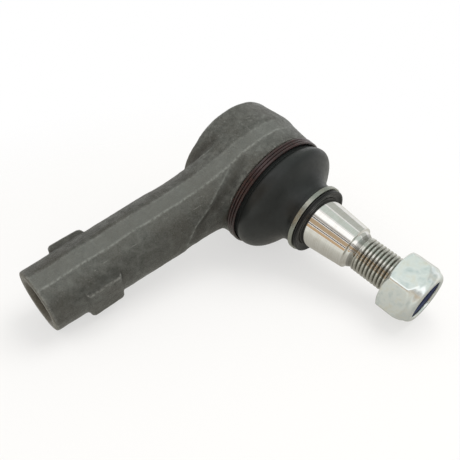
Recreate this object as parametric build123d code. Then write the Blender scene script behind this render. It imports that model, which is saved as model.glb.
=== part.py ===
from build123d import *
import math
import os

# Outer tie rod end, in millimetres.
# Origin: the ball's centre. +X runs along the shank to its threaded mouth, +Y along the ball stud to its nut, +Z up.
# The ball joint rests swivelled: the housing and everything fixed in it is rolled about the shank's axis by HOUSING_ROLL,
# so that the shank and the stud both lie on the row's axes.

HOUSING_ROLL = -5.0            # degrees about +X, from the stud's axis to the head's own axis

# housing head, along its own axis h (0 at the ball's centre, + towards the mouth that the stud leaves by)
HEAD_REAR = -14.3              # rear face
HEAD_R_REAR = 24.9             # forged wall beside the rear rim
HEAD_R_PART = 26.2             # at the parting line, h = 0
HEAD_R_FRONT = 24.6            # at the machined groove
GROOVE_START = 13.1            # machined seat of the boot's foot
GROOVE_R = 22.6
HEAD_FRONT = 18.0
BORE_R = 17.0                  # bore that holds the two seats
COVER_R = 20.0                 # counterbore of the cover plate
COVER_STEP = 3.3               # depth of that counterbore
MOUTH_R = 16.9                 # opening that the stud swings in

# shank
SHANK_L = 99.1                 # ball centre to the shank's end face
SHANK_R_END = 11.85
SHANK_GROW = 0.029             # radius gained per millimetre towards the head
FLAT = 0.955                   # flash lands: half-height over radius
PORT_R = 7.19                  # minor radius of the M16 x 1.5 thread of the inner rod
PORT_DEPTH = 46.0
LUG_X = (73.0, 86.8)           # the two spanner lugs
LUG_Y = 13.35                  # half the width across their flats
LUG_Z = 6.6

# ball stud
BALL_R = 11.0
NECK_R = 7.0
TAPER_K = 0.101                # radius gained per millimetre towards the ball
TAPER_R_END = 8.70             # at the shoulder
TAPER_START = 34.6
SHOULDER = 56.92
THREAD_R = 7.0                 # M14 x 1.5
STUD_END = 84.6

# boot and its rings
BOOT = [(18.15, 24.1), (18.8, 24.5), (20.4, 24.7), (22.4, 24.3), (24.4, 23.0), (26.6, 20.8), (28.8, 18.2), (31.0, 15.9), (33.2, 14.2), (35.4, 13.6)]
BOOT_WALL = 2.0
NECK_RING = (35.8, 37.7, 12.3, 14.25)
SEAL_END = 39.4
WIRE_R = 0.63                  # wire of the foot ring, three turns
WIRE_PITCH = 1.2
WIRE_H = 14.1
WIRE_C = 24.3

# lock nut
NUT_NEAR = 75.0
NUT_FAR = 88.2
NUT_AF = 22.0
NUT_HEX_H = 10.8
NUT_CORNER = -46.0             # degrees: where one corner stands
NUT_BORE = 7.05
NUT_COLLAR_R = 10.5
NUT_HOLE_R = 7.6
INSERT_R = (7.05, 8.75)

CLEAR = 0.05                   # running fits, radial
os.makedirs("parts", exist_ok=True)


def turned(points, roll=0.0):
    """A solid of revolution about the Y axis, from (radius, y) points, rolled about +X."""
    face = make_face(Polyline(*[(r, y) for r, y in points], close=True))
    solid = revolve(face, Axis.Y, 360)
    return solid.rotate(Axis.X, roll) if roll else solid


# --- housing: one forging, then machined -----------------------------------------------------------------------------
head = turned([
    (0, HEAD_REAR), (HEAD_R_REAR - 0.8, HEAD_REAR), (HEAD_R_REAR, HEAD_REAR + 0.9),
    (HEAD_R_PART - 0.25, -3.0), (HEAD_R_PART, -1.0), (HEAD_R_PART - 0.05, 0.8), (25.45, 4.5),
    (HEAD_R_FRONT + 0.2, 11.8), (HEAD_R_FRONT - 0.1, 12.7), (HEAD_R_FRONT - 0.6, GROOVE_START),
    (GROOVE_R, GROOVE_START), (GROOVE_R, HEAD_FRONT - 0.4), (GROOVE_R - 0.4, HEAD_FRONT), (0, HEAD_FRONT)])


def shank_r(x):
    return SHANK_R_END + SHANK_GROW * (SHANK_L - x)


def oval(x, ry, rz):
    return Plane(origin=(x, 0, 0), x_dir=(0, 1, 0), z_dir=(1, 0, 0)) * Ellipse(ry, rz)


def block(x, z):
    return Plane(origin=(x, 0, 0), x_dir=(0, 1, 0), z_dir=(1, 0, 0)) * Rectangle(60, 2 * z)


bar = loft([oval(44, shank_r(44), shank_r(44)), oval(SHANK_L - 0.5, SHANK_R_END, SHANK_R_END)], ruled=True)
bar += loft([oval(SHANK_L - 0.5, SHANK_R_END, SHANK_R_END), oval(SHANK_L, SHANK_R_END - 0.5, SHANK_R_END - 0.5)], ruled=True)
bar = bar & loft([block(43, FLAT * shank_r(44)), block(SHANK_L + 1, FLAT * SHANK_R_END)], ruled=True)
# where the shank runs into the head it rises to the head's full width
root = loft([oval(44, 13.2, 13.2 * 0.97), oval(35, 12.95, 13.6), oval(29, 13.0, 15.2), oval(24, 13.0, 17.4), oval(19, 12.9, 19.4), oval(13, 12.6, 21.2), oval(4, 12.0, 22.5)])
housing = head + root + bar
for side in (1, -1):
    pad = Pos((LUG_X[0] + LUG_X[1]) / 2, side * (LUG_Y + 5) / 2, 0) * Box(LUG_X[1] - LUG_X[0], LUG_Y - 5, 2 * LUG_Z)
    pad = fillet(pad.edges().filter_by(Axis.Z).filter_by(lambda e: abs(e.center().Y) > LUG_Y - 0.1), 1.7)
    housing += pad
cavity = turned([(0, HEAD_REAR - 1), (COVER_R, HEAD_REAR - 1), (COVER_R, HEAD_REAR + COVER_STEP), (BORE_R, HEAD_REAR + COVER_STEP),
                 (BORE_R, 3.6), (12.4, 5.6), (12.4, 6.2), (MOUTH_R, 8.2), (MOUTH_R, HEAD_FRONT - 0.5), (MOUTH_R + 0.5, HEAD_FRONT), (MOUTH_R + 0.5, HEAD_FRONT + 1), (0, HEAD_FRONT + 1)])
port = turned([(0, 0), (1.0, 0), (PORT_R, 3.6), (PORT_R, PORT_DEPTH - 1.3), (PORT_R + 1.3, PORT_DEPTH), (PORT_R + 1.3, PORT_DEPTH + 2), (0, PORT_DEPTH + 2)])
port = Pos(SHANK_L - PORT_DEPTH, 0, 0) * port.rotate(Axis.Z, -90)
seal_groove = turned([(17.1, HEAD_REAR + COVER_STEP - 0.5), (19.1, HEAD_REAR + COVER_STEP - 0.5), (19.1, HEAD_REAR + COVER_STEP + 0.85), (17.1, HEAD_REAR + COVER_STEP + 0.85)])
foot_seat = turned([(GROOVE_R, GROOVE_START), (30.0, GROOVE_START), (30.0, HEAD_FRONT + 2), (GROOVE_R, HEAD_FRONT + 2)])
housing = housing - cavity - port - seal_groove - foot_seat
rim = turned([(COVER_R - 1.9, HEAD_REAR), (COVER_R + 0.5, HEAD_REAR), (COVER_R + 0.5, HEAD_REAR + 0.95), (COVER_R - 1.5, HEAD_REAR + 0.95)])
housing = housing + rim
housing = housing.rotate(Axis.X, HOUSING_ROLL)

# --- inside the head -------------------------------------------------------------------------------------------------
ball_space = Sphere(BALL_R + CLEAR)
ball_seat = (turned([(0, -0.4), (BORE_R, -0.4), (BORE_R, 3.6), (12.4, 5.6), (10.35, 5.6), (10.1, 4.5), (0, 4.5)]) - ball_space - turned([(0, 0), (10.1, 0), (10.1, 6), (0, 6)])).rotate(Axis.X, HOUSING_ROLL)
pressure_seat = (turned([(3.4, -12.15), (9.0, -12.15), (15.5, -8.6), (BORE_R, -7.2), (BORE_R, -0.5), (9.0, -0.5), (3.4, -9.0)]) - ball_space).rotate(Axis.X, HOUSING_ROLL)
preload_spring = turned([(5.2, -12.9), (9.6, -12.2), (9.75, -13.05), (5.3, -13.75)]).rotate(Axis.X, HOUSING_ROLL)
cover_seal = turned([(17.15, -11.0), (19.05, -11.0), (19.05, -10.3), (18.7, -10.18), (17.5, -10.18), (17.15, -10.3)]).rotate(Axis.X, HOUSING_ROLL)
cover_plate = turned([(0, -13.95), (11.0, -13.95), (14.5, -11.0), (COVER_R - 0.02, -11.0), (COVER_R - 0.02, HEAD_REAR + 0.97), (15.6, HEAD_REAR + 0.97), (12.4, -15.5), (0, -15.5)]).rotate(Axis.X, HOUSING_ROLL)

# --- ball stud -------------------------------------------------------------------------------------------------------
big = TAPER_R_END + TAPER_K * (SHOULDER - TAPER_START)
shaft = turned([
    (0, 5), (NECK_R, 5), (NECK_R, 24.0), (7.5, 27.0), (9.0, 31.0), (big - 0.35, TAPER_START - 0.7), (big, TAPER_START),
    (TAPER_R_END + 0.04, SHOULDER - 0.4), (TAPER_R_END - 0.3, SHOULDER), (7.5, SHOULDER + 1.2), (6.55, SHOULDER + 2.4), (6.45, SHOULDER + 3.0),
    (THREAD_R, SHOULDER + 3.6), (THREAD_R, STUD_END - 1.2), (THREAD_R - 1.1, STUD_END), (0, STUD_END)])
ball_stud = Sphere(BALL_R) + shaft
ball_stud = ball_stud - turned([(0, -BALL_R - 1), (4.0, -BALL_R - 1), (4.0, -BALL_R + 0.8), (0, -BALL_R + 0.8)])

# --- boot ------------------------------------------------------------------------------------------------------------
def station(y, r):
    """A circle of the boot at y: its plane turns from the head's axis at the foot to the stud's axis at the neck."""
    t = min(1.0, max(0.0, (y - 18.0) / 16.0))
    a = math.radians(HOUSING_ROLL) * (1 - t * t * (3 - 2 * t))
    n = Vector(0, math.cos(a), math.sin(a))
    return Plane(origin=n * y, x_dir=(1, 0, 0), z_dir=n) * Circle(r)


outer = loft([station(y, r) for y, r in BOOT], ruled=True)
inner = loft([station(y + (-0.02 if i == 0 else 0.02 if i == len(BOOT) - 1 else 0), r - BOOT_WALL) for i, (y, r) in enumerate(BOOT)], ruled=True)
foot = turned([(GROOVE_R + 0.1, GROOVE_START + 0.3), (23.4, GROOVE_START + 0.3), (23.4, 17.6), (23.8, 18.6), (GROOVE_R + 0.1, 18.6)], HOUSING_ROLL)
dust_boot = outer - inner + foot

wires = Sketch() + [Pos(WIRE_C, WIRE_H + i * WIRE_PITCH) * Circle(WIRE_R) for i in range(3)]
boot_foot_ring = revolve(wires, Axis.Y, 360).rotate(Axis.X, HOUSING_ROLL)

y0, y1, r0, r1 = NECK_RING
neck_ring = turned([(r0, y0), (r1 - 0.2, y0), (r1, y0 + 0.2), (r1, y1 - 0.2), (r1 - 0.2, y1), (r0, y1)])


def taper_r(y):
    return TAPER_R_END + TAPER_K * (SHOULDER - y)


neck_seal = turned([(taper_r(y0) + 0.06, y0 + 0.05), (r0 - 0.02, y0 + 0.05), (r0 - 0.02, y1 + 0.1), (13.5, y1 + 0.1), (13.3, y1 + 0.7), (13.75, SEAL_END - 0.4), (13.5, SEAL_END),
                    (12.7, SEAL_END), (11.8, SEAL_END - 0.7), (taper_r(SEAL_END - 0.9) + 0.06, SEAL_END - 0.9)])

# --- lock nut --------------------------------------------------------------------------------------------------------
hexagon = extrude(Plane(origin=(0, NUT_NEAR, 0), x_dir=(1, 0, 0), z_dir=(0, 1, 0)) * RegularPolygon(NUT_AF / 2, 6, major_radius=False, rotation=NUT_CORNER), NUT_HEX_H)
corner = NUT_AF / 2 / math.cos(math.pi / 6)
hexagon = hexagon & turned([(0, NUT_NEAR), (NUT_AF / 2 - 0.4, NUT_NEAR), (corner, NUT_NEAR + 1.3), (corner, NUT_NEAR + NUT_HEX_H - 2.7), (NUT_COLLAR_R - 0.1, NUT_NEAR + NUT_HEX_H), (0, NUT_NEAR + NUT_HEX_H)])
collar = turned([(0, NUT_NEAR + 5), (NUT_COLLAR_R, NUT_NEAR + 5), (NUT_COLLAR_R, NUT_FAR - 2.4), (NUT_COLLAR_R - 0.5, NUT_FAR - 1.0), (NUT_COLLAR_R - 1.5, NUT_FAR - 0.2), (NUT_COLLAR_R - 2.2, NUT_FAR), (0, NUT_FAR)])
bore = turned([(0, NUT_NEAR - 1), (NUT_BORE + 0.9, NUT_NEAR - 1), (NUT_BORE + 0.9, NUT_NEAR), (NUT_BORE, NUT_NEAR + 0.9), (NUT_BORE, NUT_FAR - 4.6),
               (INSERT_R[1] + CLEAR, NUT_FAR - 4.6), (INSERT_R[1] + CLEAR, NUT_FAR - 1.0), (NUT_HOLE_R, NUT_FAR - 1.0), (NUT_HOLE_R, NUT_FAR - 0.8), (NUT_COLLAR_R - 2.2, NUT_FAR), (NUT_COLLAR_R - 2.2, NUT_FAR + 1), (0, NUT_FAR + 1)])
lock_nut = hexagon + collar - bore
nut_insert = turned([(INSERT_R[0], NUT_FAR - 4.55), (INSERT_R[1], NUT_FAR - 4.55), (INSERT_R[1], NUT_FAR - 1.1), (INSERT_R[0] + 0.5, NUT_FAR - 1.1), (INSERT_R[0], NUT_FAR - 1.8)])

for name, shape in {
    "housing": housing, "ball_stud": ball_stud, "ball_seat": ball_seat, "pressure_seat": pressure_seat, "preload_spring": preload_spring,
    "cover_seal": cover_seal, "cover_plate": cover_plate, "dust_boot": dust_boot, "boot_foot_ring": boot_foot_ring,
    "boot_neck_ring": neck_ring, "boot_neck_seal": neck_seal, "lock_nut": lock_nut, "nut_insert": nut_insert,
}.items():
    solids = shape.solids()
    print(name, len(solids), round(sum(s.volume for s in solids), 1))
    export_step(solids[0] if len(solids) == 1 else Compound(children=solids), os.path.join("parts", name + ".step"))
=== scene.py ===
import math

import bpy
import numpy as np
from mathutils import Matrix, Vector, noise


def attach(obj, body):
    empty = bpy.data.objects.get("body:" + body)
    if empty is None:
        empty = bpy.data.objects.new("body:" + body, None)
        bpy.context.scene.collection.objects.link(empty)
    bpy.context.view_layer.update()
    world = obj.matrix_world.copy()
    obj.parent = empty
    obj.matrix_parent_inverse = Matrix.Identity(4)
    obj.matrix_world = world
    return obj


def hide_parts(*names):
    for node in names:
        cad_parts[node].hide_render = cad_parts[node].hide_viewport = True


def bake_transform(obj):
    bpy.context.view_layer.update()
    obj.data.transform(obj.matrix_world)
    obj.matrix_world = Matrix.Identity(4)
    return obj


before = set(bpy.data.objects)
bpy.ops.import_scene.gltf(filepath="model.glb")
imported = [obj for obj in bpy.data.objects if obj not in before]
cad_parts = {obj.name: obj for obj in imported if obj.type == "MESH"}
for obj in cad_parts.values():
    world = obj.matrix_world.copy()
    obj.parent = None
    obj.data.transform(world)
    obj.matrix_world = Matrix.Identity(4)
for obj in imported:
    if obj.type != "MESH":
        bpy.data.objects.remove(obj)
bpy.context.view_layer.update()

MM = 0.001
ROLL = math.radians(-5.0)      # the head's own axis, rolled about X from the stud's
CR, SR = math.cos(ROLL), math.sin(ROLL)
scene = bpy.context.scene


# ---------------------------------------------------------------------------------------------------------------------
# mesh helpers; everything is worked out in millimetres in the row frame
# ---------------------------------------------------------------------------------------------------------------------
def mesh_object(name, verts, faces, smooth=True):
    me = bpy.data.meshes.new(name)
    me.from_pydata([tuple(v) for v in np.asarray(verts, float) * MM], [], faces)
    me.validate()
    me.update()
    me.polygons.foreach_set("use_smooth", [smooth] * len(me.polygons))
    ob = bpy.data.objects.new(name, me)
    scene.collection.objects.link(ob)
    return ob


def co_of(me):
    co = np.zeros(len(me.vertices) * 3)
    me.vertices.foreach_get("co", co)
    return co.reshape(-1, 3)


def set_attr(ob, name, values):
    a = ob.data.attributes.new(name, "FLOAT", "POINT")
    a.data.foreach_set("value", np.asarray(values, np.float32))


def grid_faces(rows, cols, closed_rows=False, flip=False):
    """Quads of a grid of rows x cols points, closed round the columns."""
    out = []
    for i in range(rows if closed_rows else rows - 1):
        i2 = (i + 1) % rows
        for j in range(cols):
            j2 = (j + 1) % cols
            q = (i * cols + j, i * cols + j2, i2 * cols + j2, i2 * cols + j)
            out.append(q[::-1] if flip else q)
    return out


def rolled(p):
    """From the head's own axes to the row frame."""
    p = np.asarray(p, float)
    return np.stack([p[..., 0], CR * p[..., 1] - SR * p[..., 2], SR * p[..., 1] + CR * p[..., 2]], -1)


def unrolled(p):
    p = np.asarray(p, float)
    return np.stack([p[..., 0], CR * p[..., 1] + SR * p[..., 2], -SR * p[..., 1] + CR * p[..., 2]], -1)


def smoothstep(a, b, x):
    t = np.clip((np.asarray(x, float) - a) / (b - a), 0, 1)
    return t * t * (3 - 2 * t)


def fine(points, step):
    """A polyline of (r, y) points cut so that no piece is longer than step."""
    out = [points[0]]
    for a, b in zip(points, points[1:]):
        n = max(1, int(math.ceil(math.dist(a, b) / step)))
        out += [(a[0] + (b[0] - a[0]) * k / n, a[1] + (b[1] - a[1]) * k / n) for k in range(1, n + 1)]
    return out


def rounded(points, closed, k=0.22, cap=0.3):
    """The polyline with each corner cut into a small three-point round."""
    n, out = len(points), []
    for i, p in enumerate(points):
        if not closed and i in (0, n - 1):
            out.append(tuple(p))
            continue
        a, b = np.array(points[i - 1], float), np.array(points[(i + 1) % n], float)
        q = np.array(p, float)
        da, db = min(cap, k * np.linalg.norm(a - q)), min(cap, k * np.linalg.norm(b - q))
        pa, pb = q + (a - q) / np.linalg.norm(a - q) * da, q + (b - q) / np.linalg.norm(b - q) * db
        for t in (0.0, 0.25, 0.5, 0.75, 1.0):
            out.append(tuple((1 - t) ** 2 * pa + 2 * t * (1 - t) * q + t * t * pb))
    return out


def turned(name, points, segments=192, closed=False, step=0.6, cap=0.3, roll=False):
    """A surface of revolution about Y. An end point with r = 0 closes the surface there."""
    pts = rounded(points, closed, cap=cap)
    if closed:
        pts = fine(pts + [pts[0]], step)[:-1]
    else:
        pts = fine(pts, step)
    pts = [(max(r, 0.0), y) for r, y in pts]
    th = np.arange(segments) * 2 * np.pi / segments
    body = [(r, y) for r, y in pts if r > 1e-6]
    v = np.array([[r * math.cos(t), y, r * math.sin(t)] for r, y in body for t in th])
    f = grid_faces(len(body), segments, closed_rows=closed)
    if not closed:
        if pts[0][0] <= 1e-6:
            v = np.vstack([v, [[0, pts[0][1], 0]]])
            f += [(len(v) - 1, (j + 1) % segments, j) for j in range(segments)]
        if pts[-1][0] <= 1e-6:
            v = np.vstack([v, [[0, pts[-1][1], 0]]])
            o = (len(body) - 1) * segments
            f += [(len(v) - 1, o + j, o + (j + 1) % segments) for j in range(segments)]
    if roll:
        v = rolled(v)
    ob = mesh_object(name, v, f)
    outward(ob)
    return ob


def outward(ob):
    import bmesh
    bm = bmesh.new()
    bm.from_mesh(ob.data)
    bmesh.ops.recalc_face_normals(bm, faces=bm.faces)
    bm.to_mesh(ob.data)
    bm.free()
    ob.data.polygons.foreach_set("use_smooth", [True] * len(ob.data.polygons))


# ---------------------------------------------------------------------------------------------------------------------
# materials: every one is procedural and works in the piece's own coordinates, in millimetres
# ---------------------------------------------------------------------------------------------------------------------
class Mat:
    def __init__(self, name):
        self.m = bpy.data.materials.new(name)
        self.m.use_nodes = True
        self.t = self.m.node_tree
        self.t.nodes.clear()
        self.out = self.t.nodes.new("ShaderNodeOutputMaterial")
        self.b = self.t.nodes.new("ShaderNodeBsdfPrincipled")
        self.t.links.new(self.b.outputs[0], self.out.inputs[0])
        tc = self.t.nodes.new("ShaderNodeTexCoord")
        mp = self.t.nodes.new("ShaderNodeMapping")
        mp.inputs["Scale"].default_value = (1000, 1000, 1000)
        self.t.links.new(tc.outputs["Object"], mp.inputs["Vector"])
        self.mm = mp.outputs[0]

    def scaled(self, s, source=None):
        n = self.t.nodes.new("ShaderNodeMapping")
        n.inputs["Scale"].default_value = s
        self.t.links.new(source or self.mm, n.inputs["Vector"])
        return n.outputs[0]

    def noise(self, scale, detail=3.0, rough=0.55, vec=None, distortion=0.0):
        n = self.t.nodes.new("ShaderNodeTexNoise")
        n.inputs["Scale"].default_value = scale
        n.inputs["Detail"].default_value = detail
        n.inputs["Roughness"].default_value = rough
        n.inputs["Distortion"].default_value = distortion
        self.t.links.new(vec or self.mm, n.inputs["Vector"])
        return n.outputs["Fac"]

    def voronoi(self, scale, vec=None, feature="F1"):
        n = self.t.nodes.new("ShaderNodeTexVoronoi")
        n.feature = feature
        n.inputs["Scale"].default_value = scale
        self.t.links.new(vec or self.mm, n.inputs["Vector"])
        return n.outputs["Distance"]

    def attr(self, name):
        n = self.t.nodes.new("ShaderNodeAttribute")
        n.attribute_name = name
        return n.outputs["Fac"]

    def ramp(self, value, stops):
        n = self.t.nodes.new("ShaderNodeValToRGB")
        e = n.color_ramp.elements
        while len(e) > 1:
            e.remove(e[-1])
        for i, (p, c) in enumerate(stops):
            x = e[0] if i == 0 else e.new(p)
            x.position = p
            x.color = (c, c, c, 1) if isinstance(c, (int, float)) else (*c, 1)
        self.t.links.new(value, n.inputs["Fac"])
        return n.outputs["Color"]

    def span(self, value, a, b, c, d):
        n = self.t.nodes.new("ShaderNodeMapRange")
        n.clamp = True
        for k, x in zip(("From Min", "From Max", "To Min", "To Max"), (a, b, c, d)):
            n.inputs[k].default_value = x
        self.t.links.new(value, n.inputs["Value"])
        return n.outputs["Result"]

    def math(self, op, a, b):
        n = self.t.nodes.new("ShaderNodeMath")
        n.operation = op
        for i, x in enumerate((a, b)):
            if isinstance(x, (int, float)):
                n.inputs[i].default_value = x
            else:
                self.t.links.new(x, n.inputs[i])
        return n.outputs[0]

    def mix(self, fac, a, b, mode="MIX"):
        n = self.t.nodes.new("ShaderNodeMix")
        n.data_type = "RGBA"
        n.blend_type = mode
        for i, x in ((0, fac), (6, a), (7, b)):
            if isinstance(x, (int, float)):
                n.inputs[i].default_value = x
            elif isinstance(x, tuple):
                n.inputs[i].default_value = (*x, 1)
            else:
                self.t.links.new(x, n.inputs[i])
        return n.outputs[2]

    def bump(self, height, distance_mm, strength=1.0, under=None):
        n = self.t.nodes.new("ShaderNodeBump")
        n.inputs["Strength"].default_value = strength
        n.inputs["Distance"].default_value = distance_mm * MM
        self.t.links.new(height, n.inputs["Height"])
        if under is not None:
            self.t.links.new(under, n.inputs["Normal"])
        return n.outputs["Normal"]

    def done(self, color, rough, normal=None, metallic=0.0, **constant):
        self.t.links.new(color, self.b.inputs["Base Color"])
        self.t.links.new(rough, self.b.inputs["Roughness"])
        if normal is not None:
            self.t.links.new(normal, self.b.inputs["Normal"])
        if isinstance(metallic, (int, float)):
            self.b.inputs["Metallic"].default_value = metallic
        else:
            self.t.links.new(metallic, self.b.inputs["Metallic"])
        for k, v in constant.items():
            self.b.inputs[k.replace("_", " ")].default_value = v
        return self.m


def forged_material():
    m = Mat("forged_steel")
    broad, mottle, grain, fleck = m.noise(0.07, 3), m.noise(0.38, 5, 0.65), m.noise(1.9, 4, 0.7), m.noise(5.2, 2, 0.6)
    c = m.ramp(mottle, [(0.30, (0.033, 0.034, 0.029)), (0.50, (0.080, 0.082, 0.073)), (0.70, (0.160, 0.164, 0.149))])
    c = m.mix(m.span(broad, 0.42, 0.60, 0.0, 0.62), c, (0.052, 0.044, 0.033), "MIX")
    c = m.mix(m.span(grain, 0.34, 0.66, 0.0, 0.60), c, (0.175, 0.180, 0.163), "MIX")
    c = m.mix(m.span(fleck, 0.60, 0.74, 0.0, 0.50), c, (0.030, 0.030, 0.028), "MIX")
    # scuffs: long thin bright marks in two directions
    s1 = m.noise(1.0, 2, 0.5, m.scaled((0.10, 1.5, 1.5)), 0.6)
    s2 = m.noise(1.0, 2, 0.5, m.scaled((0.9, 0.16, 1.1)), 0.8)
    scuff = m.math("MAXIMUM", m.span(s1, 0.705, 0.76, 0, 0.8), m.span(s2, 0.72, 0.78, 0, 0.8))
    c = m.mix(scuff, c, (0.30, 0.30, 0.275), "MIX")
    speck = m.math("MULTIPLY", m.span(m.noise(2.6, 2, 0.5), 0.66, 0.74, 0, 0.8), m.span(m.noise(0.22, 3, 0.6), 0.46, 0.62, 0.15, 1.0))
    c = m.mix(speck, c, (0.40, 0.41, 0.375), "MIX")
    # convex edges rubbed bright in places
    wear = m.math("MULTIPLY", m.attr("edge"), m.span(m.noise(1.3, 4, 0.7), 0.42, 0.60, 0.15, 1.0))
    c = m.mix(wear, c, (0.42, 0.42, 0.39), "MIX")
    # painted shade: the fold's valley, the shank's +Y flank and its side beyond the upper flash line are painted
    # darker
    c = m.mix(m.math("MULTIPLY", m.attr("valley_and_painted_shade"), 0.62), c, (0.034, 0.030, 0.024), "MIX")
    c = m.mix(m.math("MULTIPLY", m.attr("land"), 0.52), c, (0.200, 0.208, 0.190), "MIX")
    c = m.mix(m.math("MULTIPLY", m.attr("ridge"), m.span(m.noise(0.8, 4, 0.7), 0.38, 0.58, 0.0, 0.85)), c, (0.30, 0.31, 0.285), "MIX")
    # painted shade: concave creases painted darker
    c = m.mix(m.math("MULTIPLY", m.attr("crease_shade"), 0.75), c, (0.026, 0.026, 0.023), "MIX")
    mach = m.attr("mach")
    turnmark = m.noise(1.0, 3, 0.6, m.scaled((3.0, 3.0, 3.0)))
    c = m.mix(mach, c, m.ramp(turnmark, [(0.3, (0.060, 0.053, 0.041)), (0.7, (0.150, 0.138, 0.112))]), "MIX")
    r = m.span(mottle, 0.3, 0.7, 0.50, 0.36)
    n = m.bump(m.noise(0.80, 6, 0.78), 0.85, 1.0)
    n = m.bump(m.noise(2.4, 4, 0.75), 0.20, 1.0, n)
    return m.done(c, r, n, m.span(grain, 0.3, 0.7, 0.45, 0.70))


def ground_material(name, tint, rough, across=9.0, bump=0.004, metallic=1.0, stain=(0.45, 0.40, 0.33), amount=0.35):
    """Steel ground or turned about Y: fine rings, with faint stains."""
    m = Mat(name)
    rings = m.noise(1.0, 3, 0.6, m.scaled((0.05, across, 0.05)))
    patch = m.noise(0.35, 3, 0.6)
    c = m.ramp(rings, [(0.3, tuple(0.86 * x for x in tint)), (0.7, tint)])
    c = m.mix(m.span(patch, 0.52, 0.72, 0, amount), c, stain, "MIX")
    r = m.span(m.noise(1.6, 3, 0.6), 0.3, 0.7, rough * 0.75, rough * 1.3)
    n = m.bump(rings, bump, 0.6)
    return m.done(c, r, n, metallic)


def stud_material():
    m = Mat("polished_steel")
    rings = m.noise(1.0, 3, 0.6, m.scaled((0.05, 7.0, 0.05)))
    thread = m.attr("thread")
    c = m.ramp(rings, [(0.3, (0.66, 0.65, 0.62)), (0.7, (0.80, 0.79, 0.76))])
    c = m.mix(m.span(m.noise(0.45, 3, 0.6), 0.50, 0.70, 0, 0.25), c, (0.55, 0.49, 0.40), "MIX")
    c = m.mix(thread, c, m.ramp(m.noise(2.2, 4, 0.65), [(0.3, (0.40, 0.395, 0.355)), (0.7, (0.66, 0.655, 0.61))]), "MIX")
    # painted shade: the thread's roots and the relief groove behind the shoulder painted dark
    c = m.mix(m.attr("root_shade"), c, (0.045, 0.040, 0.032), "MIX")
    r = m.math("ADD", m.span(m.noise(1.5, 3, 0.6), 0.3, 0.7, 0.035, 0.085), m.math("MULTIPLY", thread, 0.13))
    n = m.bump(rings, 0.0012, 0.5)
    n = m.bump(m.noise(5.0, 3, 0.6), 0.004, 0.3, n)
    return m.done(c, r, n, 1.0)


def zinc_material():
    m = Mat("zinc_plated_steel")
    cloud, grain = m.noise(0.30, 4, 0.6), m.noise(3.4, 4, 0.6)
    c = m.ramp(cloud, [(0.30, (0.60, 0.66, 0.655)), (0.52, (0.74, 0.775, 0.755)), (0.72, (0.72, 0.72, 0.645))])
    c = m.mix(m.span(grain, 0.60, 0.78, 0, 0.22), c, (0.56, 0.56, 0.53), "MIX")
    r = m.span(cloud, 0.3, 0.7, 0.15, 0.27)
    n = m.bump(m.noise(0.42, 3, 0.5), 0.10, 0.55)
    n = m.bump(m.noise(5.5, 3, 0.6), 0.008, 0.5, n)
    return m.done(c, r, n, 0.88)


def rubber_material(name, dark, light, rough=(0.40, 0.52), sheen=0.0):
    m = Mat(name)
    cloud, dust = m.noise(0.16, 4, 0.6), m.noise(2.6, 4, 0.7)
    c = m.ramp(cloud, [(0.3, dark), (0.7, light)])
    c = m.mix(m.span(dust, 0.56, 0.75, 0, 0.30), c, tuple(2.4 * x for x in light), "MIX")
    r = m.span(m.noise(0.7, 4, 0.6), 0.3, 0.7, *rough)
    n = m.bump(m.noise(0.5, 3, 0.5), 0.03, 0.4)
    n = m.bump(m.noise(6.0, 3, 0.6), 0.010, 0.45, n)
    return m.done(c, r, n, 0.0, Sheen_Weight=sheen, Specular_IOR_Level=0.34)


def polymer_material(name, a, b, rough=(0.32, 0.45)):
    m = Mat(name)
    c = m.ramp(m.noise(0.6, 4, 0.6), [(0.3, a), (0.7, b)])
    r = m.span(m.noise(2.0, 3, 0.6), 0.3, 0.7, *rough)
    return m.done(c, r, m.bump(m.noise(4.0, 3, 0.6), 0.01, 0.4), 0.0)


M_FORGED = forged_material()
M_STUD = stud_material()
M_ZINC = zinc_material()
M_BOOT = rubber_material("boot_rubber", (0.0060, 0.0070, 0.0066), (0.0115, 0.0130, 0.0122), (0.34, 0.46), 0.0)
M_SEALLIP = rubber_material("seal_rubber", (0.004, 0.004, 0.004), (0.009, 0.009, 0.009), (0.30, 0.42))
M_WIRE = polymer_material("ring_wire", (0.008, 0.0040, 0.0038), (0.026, 0.0080, 0.0070), (0.22, 0.34))
M_RING = ground_material("neck_ring_steel", (0.36, 0.375, 0.335), 0.34, 6.0, 0.006)
M_COVER = ground_material("cover_steel", (0.30, 0.30, 0.285), 0.40, 5.0, 0.012, 0.8, (0.12, 0.11, 0.09), 0.6)
M_SPRING = ground_material("spring_steel", (0.42, 0.42, 0.41), 0.30, 5.0, 0.006)
M_SEAT = polymer_material("seat_polymer", (0.78, 0.76, 0.69), (0.86, 0.84, 0.78))
M_NYLON = polymer_material("nylon", (0.008, 0.014, 0.045), (0.014, 0.024, 0.075), (0.30, 0.42))


def dress(ob, material):
    ob.data.materials.clear()
    ob.data.materials.append(material)


# ---------------------------------------------------------------------------------------------------------------------
# housing: the CAD forging, remeshed so that its edges soften and its skin undulates as a forging's does
# ---------------------------------------------------------------------------------------------------------------------
def laplace(co, ea, eb, deg):
    s = np.zeros_like(co)
    for k in range(3):
        s[:, k] = np.bincount(ea, co[eb, k], len(co)) + np.bincount(eb, co[ea, k], len(co))
    return s / deg[:, None] - co


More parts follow.
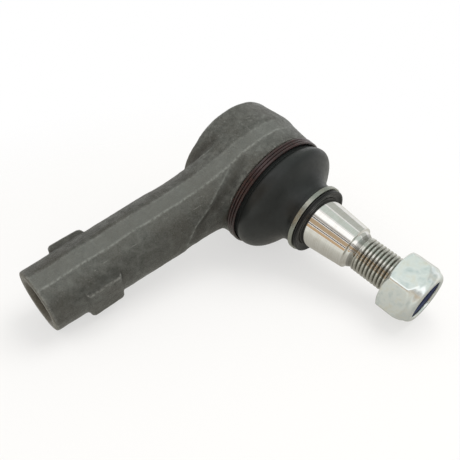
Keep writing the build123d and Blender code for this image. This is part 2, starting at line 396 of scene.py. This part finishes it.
VOXEL = 0.42
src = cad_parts["housing"]
tmp = bpy.data.objects.new("tmp_housing", src.data.copy())
scene.collection.objects.link(tmp)
md = tmp.modifiers.new("weld", "WELD")
md.merge_threshold = 1e-6
md = tmp.modifiers.new("remesh", "REMESH")
md.mode = "VOXEL"
md.voxel_size = VOXEL * MM
me = bpy.data.meshes.new_from_object(tmp.evaluated_get(bpy.context.evaluated_depsgraph_get()))
bpy.data.objects.remove(tmp)
co = co_of(me) * 1000
e = np.zeros(len(me.edges) * 2, np.int64)
me.edges.foreach_get("vertices", e)
ea, eb = e[0::2], e[1::2]
deg = np.maximum(1, np.bincount(ea, minlength=len(co)) + np.bincount(eb, minlength=len(co)))
for _ in range(3):                      # a shrink-free smoothing: in, then back out
    co = co + 0.55 * laplace(co, ea, eb, deg)
    co = co - 0.56 * laplace(co, ea, eb, deg)
co = co + 0.5 * laplace(co, ea, eb, deg)
me.vertices.foreach_set("co", (co * MM).astype(np.float32).ravel())
me.update()
# the forging flows from shank to head without a step: extra smoothing around the two lofted seams only
outer_skin = (np.hypot(co[:, 1], co[:, 2]) > 9.4)
hq = unrolled(co)
# (the fold on the flanks, where the shank's side meets the head's wall, stays)
topness = smoothstep(0.62, 0.86, np.abs(hq[:, 2]) / np.maximum(np.hypot(hq[:, 1], hq[:, 2]), 1e-6))
seam = smoothstep(33, 38, co[:, 0]) * (1 - smoothstep(50, 58, co[:, 0]))
root_zone = smoothstep(14, 20, co[:, 0]) * (1 - smoothstep(38, 42, co[:, 0])) * (0.10 + 0.90 * topness)
soft = np.maximum(seam, root_zone) * outer_skin * (1 - smoothstep(11.2, 12.2, hq[:, 1])) * (np.hypot(hq[:, 0], hq[:, 2]) > 21)
for _ in range(55):
    co = co + (0.62 * soft)[:, None] * laplace(co, ea, eb, deg)
me.vertices.foreach_set("co", (co * MM).astype(np.float32).ravel())
me.update()
nrm = np.zeros(len(co) * 3)
me.vertices.foreach_get("normal", nrm)
nrm = nrm.reshape(-1, 3)
lap = laplace(co, ea, eb, deg)
curve = (lap * nrm).sum(1) / VOXEL      # negative on convex edges, positive in creases
for _ in range(2):
    curve = curve + 0.5 * laplace(curve[:, None].repeat(3, 1), ea, eb, deg)[:, 0]
hp = unrolled(co)
h, rh = hp[:, 1], np.hypot(hp[:, 0], hp[:, 2])
rho = np.hypot(hp[:, 1], hp[:, 2])
mach = np.maximum.reduce([
    smoothstep(12.7, 13.1, h) * (rh < 26.5),
    (1 - smoothstep(20.0, 20.5, rh)) * (np.abs(h) < 19),
    (1 - smoothstep(8.6, 9.1, rho)) * (co[:, 0] > 50),
    smoothstep(98.75, 98.98, co[:, 0])])
broad = np.array([noise.noise(Vector(p * 0.17)) for p in co])
mid = np.array([noise.noise(Vector(p * 0.55 + 31.0)) for p in co])
small = np.array([noise.noise(Vector(p * 1.35 + 77.0)) for p in co])
amp = 0.10 * broad + 0.060 * mid + 0.034 * small
# the two lines of the flash land, along the shank and up over the head, on the upper and lower side
edge_a = np.interp(hp[:, 0], (0, 7, 20, 35, 95), (1.9, 1.6, -0.4, -2.3, -2.3))
edge_b = np.interp(hp[:, 0], (0, 7, 20, 35, 95), (6.8, 6.4, 5.0, 3.8, 3.8))
wob = 0.35 * np.array([noise.noise(Vector((p[0] * 0.09, 3.0, 7.0 * np.sign(p[2])))) for p in co])
fade = smoothstep(-14, -4, co[:, 0]) * outer_skin
across = hp[:, 1] + wob
top = fade * (np.abs(hp[:, 2]) > 6.5)
line = (0.45 * np.exp(-((across - edge_a) / 0.40) ** 2) + np.exp(-((across - edge_b) / 0.42) ** 2)) * top
inside = smoothstep(edge_a - 0.5, edge_a + 0.4, across) * (1 - smoothstep(edge_b - 0.2, edge_b + 0.6, across)) * top
amp = amp + 0.09 * line
# the shank's side beyond the upper flash line, painted darker below as shade
far_side_shade = (1 - smoothstep(edge_a - 1.6, edge_a - 0.3, across)) * outer_skin * smoothstep(22, 34, hp[:, 0])
near_side = smoothstep(edge_b, edge_b + 0.8, across) * (1 - smoothstep(edge_b + 2.0, edge_b + 6.0, across)) * top
# the fold where the shank's flank runs into the head: a ridge, and a shallow valley on the head's side of it, which is
# also painted darker as shade
ang = np.degrees(np.arctan2(np.abs(hp[:, 2]), np.abs(hp[:, 1])))
xf = np.interp(ang, (0, 23, 36, 57, 74), (45.0, 40.0, 33.5, 26.0, 17.6))
dd = hp[:, 0] - xf
flank = outer_skin * (1 - smoothstep(68, 78, ang)) * (rh > 24.6) * (hp[:, 0] > 10)
valley_and_painted_shade = np.sin(np.pi * np.clip(-dd / 9.0, 0, 1)) ** 1.5 * flank
fold = np.exp(-(dd / 0.7) ** 2) * flank
amp = amp - 0.42 * valley_and_painted_shade + 0.14 * fold
# the shank's +Y flank, painted darker below as shade
under = (1 - smoothstep(38, 58, ang)) * outer_skin * smoothstep(20, 30, hp[:, 0])
co = co + nrm * (amp * (1 - mach))[:, None]
me.vertices.foreach_set("co", (co * MM).astype(np.float32).ravel())
me.polygons.foreach_set("use_smooth", [True] * len(me.polygons))
me.update()
housing = bpy.data.objects.new("housing_forging", me)
scene.collection.objects.link(housing)
set_attr(housing, "mach", mach)
set_attr(housing, "ridge", np.maximum(line, 0.6 * fold))
# painted shade: darker in the fold's valley, on the shank's +Y flank and on its side beyond the upper flash line
set_attr(housing, "valley_and_painted_shade", np.clip(valley_and_painted_shade + 0.45 * under * (hp[:, 1] > 0) + 0.55 * far_side_shade, 0, 1))
set_attr(housing, "land", np.clip(inside + 0.42 * near_side, 0, 1))
set_attr(housing, "edge", np.clip((-curve - 0.030) / 0.10, 0, 1))
# painted shade: darker in concave creases
set_attr(housing, "crease_shade", np.clip((curve - 0.030) / 0.10, 0, 1))
dress(housing, M_FORGED)
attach(housing, "housing")
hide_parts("housing")

# ---------------------------------------------------------------------------------------------------------------------
# boot: one moulded bellows in two meshes that share a ring
# ---------------------------------------------------------------------------------------------------------------------
# y along the stud, outer radius, and how far the circle's centre lies towards +X and +Z
BOOT = np.array([
    (18.10, 23.45, 0.0, 0.0), (18.60, 23.80, 0.0, 0.1), (19.60, 24.10, 0.0, 0.4), (21.00, 24.10, 0.0, 0.8), (22.60, 23.70, 0.0, 1.2), (24.40, 22.45, 0.0, 1.5),
    (26.20, 19.95, 0.0, 1.5), (28.00, 16.95, 0.0, 1.3), (29.80, 14.80, 0.0, 0.9), (31.60, 13.55, 0.0, 0.4), (33.40, 13.20, 0.0, 0.1), (34.80, 13.35, 0.0, 0.0), (35.70, 13.20, 0.0, 0.0)])
WALL = 1.7


def spline(t, x, y):
    """Monotone-ish smooth interpolation through (x, y)."""
    m = np.gradient(y, x)
    i = np.clip(np.searchsorted(x, t) - 1, 0, len(x) - 2)
    d = x[i + 1] - x[i]
    s = (t - x[i]) / d
    return (2 * s**3 - 3 * s**2 + 1) * y[i] + (s**3 - 2 * s**2 + s) * d * m[i] + (-2 * s**3 + 3 * s**2) * y[i + 1] + (s**3 - s**2) * d * m[i + 1]


def boot_point(y, th, inset=0.0):
    r = spline(y, BOOT[:, 0], BOOT[:, 1]) - inset
    dx, dz = spline(y, BOOT[:, 0], BOOT[:, 2]), spline(y, BOOT[:, 0], BOOT[:, 3])
    t = np.clip((y - 18.0) / 16.0, 0, 1)
    a = ROLL * (1 - t * t * (3 - 2 * t))
    px, pz = r * np.cos(th) + dx, r * np.sin(th) + dz
    return np.stack([px, y * np.cos(a) - pz * np.sin(a), y * np.sin(a) + pz * np.cos(a)], -1)


SEG = 160
TH = np.arange(SEG) * 2 * np.pi / SEG
SPLIT = 23.4        # height of the plane, across the housing's own axis, where the boot's two halves meet
NAX = np.array([0, math.cos(ROLL), math.sin(ROLL)])


def split_rows(wall):
    """The boot's own height at which each of its meridians crosses the plane between the halves."""
    lo_, hi_ = np.full(SEG, 18.1), np.full(SEG, 34.0)
    for _ in range(40):
        m_ = (lo_ + hi_) / 2
        low = boot_point(m_, TH, wall) @ NAX < SPLIT
        lo_, hi_ = np.where(low, m_, lo_), np.where(low, hi_, m_)
    return (lo_ + hi_) / 2


def boot_mesh(name, y_from, y_to, close_from, close_to):
    ends = [(split_rows(w) if y is None else np.full(SEG, y)) for w in (0.0, WALL) for y in (y_from, y_to)]
    ts = np.linspace(0, 1, 22)
    yo = [ends[0] * (1 - t) + ends[1] * t for t in ts]
    yi = [ends[2] * (1 - t) + ends[3] * t for t in ts]
    heights = yo + yi[::-1]
    outer = [boot_point(y, TH) for y in yo]
    inner = [boot_point(y, TH, WALL) for y in yi]
    rings = outer + inner[::-1]
    v = np.vstack(rings)
    f = grid_faces(len(rings), SEG, closed_rows=False)
    if close_from:      # foot edge: join the first outer and first inner ring
        n = len(rings) - 1
        f += [(n * SEG + j, n * SEG + (j + 1) % SEG, (j + 1) % SEG, j) for j in range(SEG)]
    k = len(ts)
    if not close_to:    # the far end stays open where the other half carries on: drop the joining strip
        f = [q for q in f if not (min(q) // SEG == k - 1 and max(q) // SEG == k)]
    ob = mesh_object(name, v, f)
    # normals from the whole boot's shape, so that the two halves shade as one
    e1, e2 = 1e-3, 0.02
    normals = []
    for i, ring in enumerate(rings):
        ins = i >= k
        y = heights[i]
        w = WALL if ins else 0.0
        a = boot_point(y, TH + e1, w) - boot_point(y, TH - e1, w)
        b = boot_point(y + e2, TH, w) - boot_point(y - e2, TH, w)
        n = np.cross(b, a)
        n /= np.linalg.norm(n, axis=1)[:, None]
        radial = np.stack([np.cos(TH), np.zeros(SEG), np.sin(TH)], 1)
        sign = np.sign((n * radial).sum(1))[:, None] * (-1 if ins else 1)
        normals.append(n * sign)
    outward_by(ob, np.vstack(normals))
    return ob


def outward_by(ob, normals):
    """Turns faces to agree with the given vertex normals, then sets those as custom normals."""
    import bmesh
    bm = bmesh.new()
    bm.from_mesh(ob.data)
    bm.faces.ensure_lookup_table()
    flip = [f for f in bm.faces if f.normal.dot(Vector(np.mean([normals[v.index] for v in f.verts], axis=0))) < 0]
    bmesh.ops.reverse_faces(bm, faces=flip)
    bm.to_mesh(ob.data)
    bm.free()
    ob.data.polygons.foreach_set("use_smooth", [True] * len(ob.data.polygons))
    ob.data.normals_split_custom_set_from_vertices([tuple(n) for n in normals])


boot_low = boot_mesh("dust_boot_lower", 18.10, None, True, False)
boot_high = boot_mesh("dust_boot_upper", None, 35.70, False, True)
for b in (boot_low, boot_high):
    dress(b, M_BOOT)
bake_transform(boot_low)
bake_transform(boot_high)
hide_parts("dust_boot")
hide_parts("dust_boot")

# the boot's foot, clamped in the housing's groove under the ring
foot = turned("boot_foot", [(22.72, 13.45), (23.45, 13.45), (23.45, 17.5), (23.75, 18.25), (22.72, 18.25)], closed=True, roll=True, cap=0.15)
dress(foot, M_BOOT)
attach(foot, "housing")
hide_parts("dust_boot")


# ---------------------------------------------------------------------------------------------------------------------
# rings, seal
# ---------------------------------------------------------------------------------------------------------------------
def wire_ring(name, radius, h0, pitch, turns, wire):
    n, m = 150 * turns, 14
    s = np.arange(n + 1) / n * turns
    # flat turns that step over to the next one within a short stretch
    whole, part = np.floor(s), s - np.floor(s)
    hh = h0 + pitch * (np.minimum(whole, turns - 1) + np.where(whole >= turns - 1, 0, smoothstep(0.90, 1.0, part)))
    th = 2 * np.pi * s - 2.3
    v = []
    for k in range(n + 1):
        a = np.arange(m) * 2 * np.pi / m
        r = radius + wire * np.cos(a)
        v.append(np.stack([r * math.cos(th[k]), hh[k] + wire * np.sin(a), r * math.sin(th[k])], 1))
    v = np.vstack(v)
    f = grid_faces(n + 1, m)
    c0, c1 = len(v), len(v) + 1
    v = np.vstack([v, [v[:m].mean(0)], [v[-m - 0:].mean(0)]])
    f += [(c0, (j + 1) % m, j) for j in range(m)] + [(c1, n * m + j, n * m + (j + 1) % m) for j in range(m)]
    ob = mesh_object(name, rolled(v), f)
    outward(ob)
    return ob


ring = wire_ring("boot_foot_ring_wire", 24.3, 14.1, 1.2, 3, 0.60)
dress(ring, M_WIRE)
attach(ring, "housing")
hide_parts("boot_foot_ring")

neck_ring = turned("boot_neck_ring_band", [(12.32, 35.82), (14.1, 35.82), (14.22, 36.0), (14.22, 37.5), (14.1, 37.68), (12.32, 37.68)], closed=True, cap=0.12)
dress(neck_ring, M_RING)
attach(neck_ring, "neck")
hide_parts("boot_neck_ring")


def taper_r(y):
    return 8.70 + 0.101 * (56.92 - y)


neck_seal = turned("boot_neck_seal_lip", [
    (taper_r(35.9) + 0.07, 35.88), (12.26, 35.88), (12.26, 37.82), (13.45, 37.82), (13.3, 38.3), (13.7, 38.95), (13.62, 39.36),
    (12.9, 39.38), (11.9, 38.75), (taper_r(38.5) + 0.10, 38.5)], closed=True, cap=0.22, step=0.25)
dress(neck_seal, M_SEALLIP)
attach(neck_seal, "neck")
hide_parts("boot_neck_seal")


# ---------------------------------------------------------------------------------------------------------------------
# ball stud with its real thread
# ---------------------------------------------------------------------------------------------------------------------
def stud():
    prof = [(10.999 * math.cos(a), 11.0 * math.sin(a)) for a in np.radians(np.linspace(-68.7, 50.9, 60))]
    prof = [(0.0, -10.2), (4.0, -10.2)] + prof
    prof += [(6.93, 9.0), (6.93, 12.0), (7.0, 14.0), (7.0, 24.0), (7.5, 27.0), (9.0, 31.0), (10.60, 33.9), (10.952, 34.6)]
    prof += [(8.725, 56.70), (8.66, 56.86), (8.40, 56.95), (7.75, 57.25), (7.35, 58.3), (6.75, 59.3), (6.50, 59.8), (6.62, 60.3), (6.95, 60.5)]
    prof = fine(prof, 0.5)
    ys = np.arange(60.62, 84.6, 0.11)
    seg, pitch, depth = 168, 1.5, 0.80
    th = np.arange(seg) * 2 * np.pi / seg
    v, thread, root_shade = [], [], []
    for r, y in prof:
        if r > 1e-6:
            v.append(np.stack([r * np.cos(th), np.full(seg, y), r * np.sin(th)], 1))
            thread.append(np.full(seg, float(y > 59.0)))
            # painted shade in the relief groove, at half strength
            root_shade.append(np.full(seg, float(58.6 < y < 60.3) * 0.5))
    for y in ys:
        ph = np.mod(y / pitch + th / (2 * np.pi) + 0.30, 1.0)          # right-hand
        tri = np.abs(ph - 0.5) * 2                                     # 0 in the middle of the crest
        d = depth * smoothstep(0.34, 1.0, tri)
        fade = smoothstep(60.5, 61.6, y)
        crest = 7.0 - max(0.0, (y - 83.5)) * 1.0                       # end chamfer
        r = np.minimum(7.0 - d * fade, crest)
        v.append(np.stack([r * np.cos(th), np.full(seg, y), r * np.sin(th)], 1))
        thread.append(np.ones(seg))
        # painted shade in the thread's roots
        root_shade.append(smoothstep(0.66, 0.96, tri) * fade * (r > 5.0) * 0.9)
    last = float(ys[-1])
    for r in (5.6, 4.0, 2.0):
        v.append(np.stack([r * np.cos(th), np.full(seg, last + 0.05), r * np.sin(th)], 1))
        thread.append(np.full(seg, 0.6)); root_shade.append(np.zeros(seg))
    rows = len(v)
    v = np.vstack(v)
    f = grid_faces(rows, seg)
    v = np.vstack([v, [[0, -10.2, 0]], [[0, last + 0.05, 0]]])
    f += [(len(v) - 2, (j + 1) % seg, j) for j in range(seg)] + [(len(v) - 1, (rows - 1) * seg + j, (rows - 1) * seg + (j + 1) % seg) for j in range(seg)]
    ob = mesh_object("ball_stud_turned", v, f)
    outward(ob)
    set_attr(ob, "thread", list(np.hstack(thread)) + [0, 0.6])
    set_attr(ob, "root_shade", list(np.hstack(root_shade)) + [0, 0])
    return ob


ball_stud = stud()
dress(ball_stud, M_STUD)
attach(ball_stud, "stud")
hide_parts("ball_stud")


# ---------------------------------------------------------------------------------------------------------------------
# lock nut: a hexagon under a chamfer, and the rolled collar that holds the nylon
# ---------------------------------------------------------------------------------------------------------------------
def nut():
    near, far, flat, corner = 75.0, 88.2, 11.0, 46.0
    seg = 360
    th = np.radians(corner) + np.arange(seg) * 2 * np.pi / seg
    fold = (np.degrees(th) - corner + 30) % 60 - 30                    # 0 at a corner, +-30 mid flat
    hexr = flat / np.cos(np.radians(30 - np.abs(fold)))
    hexr = hexr - 0.16 * np.exp(-(fold / 1.1) ** 2)                    # corner broken a little
    out = []
    for y in np.arange(near, far - 0.001, 0.12):
        cone = 10.75 + (y - near) * 1.45                               # near chamfer
        top = 11.0 + (near + 10.3 - y) * 0.80                          # far chamfer, longer
        col = 10.5
        if y > far - 3.0:
            a = (y - (far - 3.0)) / 3.0
            col = 8.25 + 2.25 * math.sqrt(max(0.0, 1 - a ** 2.2))      # collar rolled inwards
        lim = min(cone, top)
        w = np.clip(0.5 + (lim - hexr) / 0.5, 0, 1)                    # smooth minimum
        a = hexr * w + lim * (1 - w) - 0.125 * w * (1 - w) * 2
        if y > near + 5:
            w = np.clip(0.5 + (a - col) / 0.5, 0, 1)                   # smooth maximum
            a = a * w + col * (1 - w) + 0.125 * w * (1 - w) * 2
        r = a
        out.append((y, r))
    rings = [(near + 0.9, np.full(seg, 7.05)), (near + 0.02, np.full(seg, 7.92)), (near, np.full(seg, 8.3)), (near, np.full(seg, 9.6)), (near, np.full(seg, 10.3))]
    rings += out[1:]
    rings += [(far, np.full(seg, 8.35)), (far - 0.12, np.full(seg, 7.95)), (far - 0.45, np.full(seg, 7.68)), (far - 0.85, np.full(seg, 7.60)), (far - 1.0, np.full(seg, 7.72)), (far - 1.0, np.full(seg, 8.78)),
              (far - 2.8, np.full(seg, 8.8)), (far - 4.6, np.full(seg, 8.8)), (far - 4.6, np.full(seg, 7.3)), (far - 4.8, np.full(seg, 7.05)), (far - 8.0, np.full(seg, 7.05))]
    v = np.vstack([np.stack([r * np.cos(th), np.full(seg, y), r * np.sin(th)], 1) for y, r in rings])
    ob = mesh_object("lock_nut_hex", v, grid_faces(len(rings), seg, closed_rows=True))
    outward(ob)
    return ob


lock_nut = nut()
dress(lock_nut, M_ZINC)
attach(lock_nut, "nut")
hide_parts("lock_nut")

# ---------------------------------------------------------------------------------------------------------------------
# CAD pieces that keep their shape
# ---------------------------------------------------------------------------------------------------------------------
for name, material, slot in (
        ("cover_plate", M_COVER, "cover_steel"), ("ball_seat", M_SEAT, "seat_polymer"), ("pressure_seat", M_SEAT, "seat_polymer"),
        ("preload_spring", M_SPRING, "spring_steel"), ("cover_seal", M_SEALLIP, "seal_rubber"), ("nut_insert", M_NYLON, "nylon")):
    dress(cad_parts[name], material)

# ---------------------------------------------------------------------------------------------------------------------
# stage: floor under the three places the part rests on, light tent, camera
# ---------------------------------------------------------------------------------------------------------------------
pts = np.vstack([co_of(o.data) for o in (housing, lock_nut, ring, boot_low)]) * 1000
gx, gy, g0 = 0.1766, 0.2106, -29.35
for _ in range(12):
    d = pts[:, 2] - (g0 + gx * pts[:, 0] + gy * pts[:, 1])
    regions = (pts[:, 0] > 80, pts[:, 1] > 70, (pts[:, 0] < 30) & (pts[:, 1] < 30))
    low = [pts[m][np.argmin(d[m])] for m in regions]
    A = np.array([[1, p[0], p[1]] for p in low])
    g0, gx, gy = np.linalg.solve(A, [p[2] for p in low])
d = pts[:, 2] - (g0 + gx * pts[:, 0] + gy * pts[:, 1])
g0 += min(0.0, d.min()) - 0.02
up = Vector((-gx, -gy, 1)).normalized()
print("floor", round(g0, 3), round(gx, 4), round(gy, 4), "lowest gap", round(float(d.min()), 3))

S = 0.42
FLOOR_GLOW = 0.600
fme = bpy.data.meshes.new("floor")
cx, cy = 45.0, 35.0
c0 = Vector((cx, cy, g0 + gx * cx + gy * cy)) * MM
ux = up.orthogonal().normalized()
uy = up.cross(ux)
fme.from_pydata([tuple(c0 + ux * a * S + uy * b * S) for a, b in ((-1, -1), (1, -1), (1, 1), (-1, 1))], [], [(0, 1, 2, 3)])
fme.update()
floor = bpy.data.objects.new("floor", fme)
scene.collection.objects.link(floor)
fm = bpy.data.materials.new("floor")
fm.use_nodes = True
ft = fm.node_tree
ft.nodes.clear()
fo = ft.nodes.new("ShaderNodeOutputMaterial")
fb = ft.nodes.new("ShaderNodeBsdfDiffuse")
fb.inputs["Color"].default_value = (0.235, 0.231, 0.224, 1)
fp = ft.nodes.new("ShaderNodeBsdfTransparent")
fx = ft.nodes.new("ShaderNodeMixShader")
fg = ft.nodes.new("ShaderNodeNewGeometry")
fe = ft.nodes.new("ShaderNodeEmission")
fe.inputs["Color"].default_value = (1.0, 0.995, 0.985, 1)
fe.inputs["Strength"].default_value = FLOOR_GLOW
fa = ft.nodes.new("ShaderNodeAddShader")
ft.links.new(fb.outputs[0], fa.inputs[0])
ft.links.new(fe.outputs[0], fa.inputs[1])
# the floor fades into the white tent away from the part, and is never seen from below
fd = ft.nodes.new("ShaderNodeVectorMath")
fd.operation = "DISTANCE"
fd.inputs[1].default_value = tuple(c0)
ff = ft.nodes.new("ShaderNodeMapRange")
ff.interpolation_type = "SMOOTHSTEP"
ff.inputs["From Min"].default_value, ff.inputs["From Max"].default_value = 0.095, 0.23
fq = ft.nodes.new("ShaderNodeMath")
fq.operation = "MAXIMUM"
ft.links.new(fg.outputs["Position"], fd.inputs[0])
ft.links.new(fd.outputs["Value"], ff.inputs["Value"])
ft.links.new(ff.outputs["Result"], fq.inputs[0])
ft.links.new(fg.outputs["Backfacing"], fq.inputs[1])
ft.links.new(fq.outputs[0], fx.inputs[0])
ft.links.new(fa.outputs[0], fx.inputs[1])
ft.links.new(fp.outputs[0], fx.inputs[2])
ft.links.new(fx.outputs[0], fo.inputs[0])
floor.data.materials.append(fm)

world = bpy.data.worlds.new("tent")
scene.world = world
world.use_nodes = True
bg = world.node_tree.nodes["Background"]
bg.inputs[0].default_value = (1.0, 1.0, 1.0, 1)
bg.inputs[1].default_value = 1.0


def card(name, centre, towards, size, color, strength=0.0):
    """A flat card of the light tent that only reflections see: dark ones absorb, others glow faintly."""
    z = (Vector(towards) - Vector(centre)).normalized()
    x = Vector((0, 1, 0)) - z * z.y
    x.normalize()
    y = z.cross(x)
    c = Vector(centre)
    cm = bpy.data.meshes.new(name)
    cm.from_pydata([tuple(c + x * a * size[0] / 2 + y * b * size[1] / 2) for a, b in ((-1, -1), (1, -1), (1, 1), (-1, 1))], [], [(0, 1, 2, 3)])
    cm.update()
    ob = bpy.data.objects.new(name, cm)
    scene.collection.objects.link(ob)
    mt = bpy.data.materials.new(name)
    mt.use_nodes = True
    nt = mt.node_tree
    nt.nodes.clear()
    o = nt.nodes.new("ShaderNodeOutputMaterial")
    em = nt.nodes.new("ShaderNodeEmission")
    em.inputs["Color"].default_value = (*color, 1)
    em.inputs["Strength"].default_value = 1.0
    nt.links.new(em.outputs[0], o.inputs[0])
    cm.materials.append(mt)
    for k in ("visible_camera", "visible_diffuse", "visible_shadow", "visible_transmission", "visible_volume_scatter"):
        setattr(ob, k, False)
    ob.visible_glossy = True
    return ob


# what a polished surface sees of the table: its colour darkens towards X = 0, under the stud, as a painted shadow of
# the part
hold = Vector((60, 45, g0 + gx * 60 + gy * 45)) * MM + up * 0.0006
table = card("card_table", hold, hold + up, (0.75, 0.75), (1.0, 1.0, 1.0))
nt = table.data.materials[0].node_tree
em = nt.nodes["Emission"]
pos = nt.nodes.new("ShaderNodeTexCoord")
sep = nt.nodes.new("ShaderNodeSeparateXYZ")
off = nt.nodes.new("ShaderNodeMath")
off.operation = "ABSOLUTE"
# painted shadow: dark within 10 mm of X = 0, light beyond 85 mm
painted_shadow_ramp = nt.nodes.new("ShaderNodeValToRGB")
painted_shadow_ramp.color_ramp.elements[0].color = (0.47, 0.455, 0.41, 1)
painted_shadow_ramp.color_ramp.elements[1].color = (0.86, 0.86, 0.80, 1)
painted_shadow_ramp.color_ramp.elements[0].position, painted_shadow_ramp.color_ramp.elements[1].position = 0.010, 0.085
nt.links.new(pos.outputs["Object"], sep.inputs[0])
nt.links.new(sep.outputs["X"], off.inputs[0])
nt.links.new(off.outputs[0], painted_shadow_ramp.inputs[0])
nt.links.new(painted_shadow_ramp.outputs[0], em.inputs["Color"])

# the view from the stud into the tent, by angle round the stud's axis (0 is +X, 90 is +Z)
AX = Vector((0, 0.058, 0))
for name, deg, width, color in (
        ("card_dark_low", 1, 8, (0.10, 0.09, 0.08)), ("card_tan_low", 14, 12, (0.66, 0.47, 0.29)), ("card_line_low", 25, 4, (0.12, 0.09, 0.07)),
        ("card_tan", 39, 18, (0.56, 0.42, 0.28)), ("card_line", 53, 4, (0.10, 0.09, 0.08)), ("card_grey", 61, 8, (0.50, 0.47, 0.44)),
        ("card_bright", 79, 20, (1.40, 1.40, 1.40)), ("card_green", 111, 30, (0.70, 0.765, 0.725)), ("card_dim", 152, 40, (0.58, 0.60, 0.565))):
    a = math.radians(deg)
    dist = 0.42
    card(name, AX + Vector((math.cos(a), 0, math.sin(a))) * dist, AX, (3.2, 2 * dist * math.tan(math.radians(width / 2))), color)


def softbox(name, place, target, size, watts, color=(1, 1, 1)):
    ld = bpy.data.lights.new(name, "AREA")
    ld.shape = "RECTANGLE"
    ld.size, ld.size_y = size
    ld.energy = watts
    ld.color = color
    ob = bpy.data.objects.new(name, ld)
    scene.collection.objects.link(ob)
    ob.location = place
    ob.visible_glossy = False
    ob.rotation_euler = (Vector(target) - Vector(place)).to_track_quat("-Z", "Y").to_euler()
    return ob


mid_pt = Vector((0.045, 0.035, -0.005))
softbox("key", mid_pt + up * 0.55 + Vector((-0.25, 0.05, 0.0)), mid_pt, (0.5, 0.4), 3.2)
softbox("fill", mid_pt + up * 0.35 + Vector((0.35, 0.35, 0.0)), mid_pt, (0.4, 0.3), 0.9)

cam = bpy.data.objects.new("camera", bpy.data.cameras.new("camera"))
scene.collection.objects.link(cam)
scene.camera = cam
right, upv, back = Vector((-0.73682, 0.67592, 0.01507)), Vector((-0.50108, -0.56092, 0.65900)), Vector((0.45389, 0.47802, 0.75199))
R = Matrix((right, upv, back)).transposed().to_4x4()
cam.matrix_world = Matrix.Translation((0.120353, 0.115910, 0.151931)) @ R
cam.data.lens = 41.486
cam.data.sensor_width = 36.0
cam.data.clip_start, cam.data.clip_end = 0.005, 10.0
cam.data.dof.use_dof = False
scene.view_settings.view_transform = "Standard"
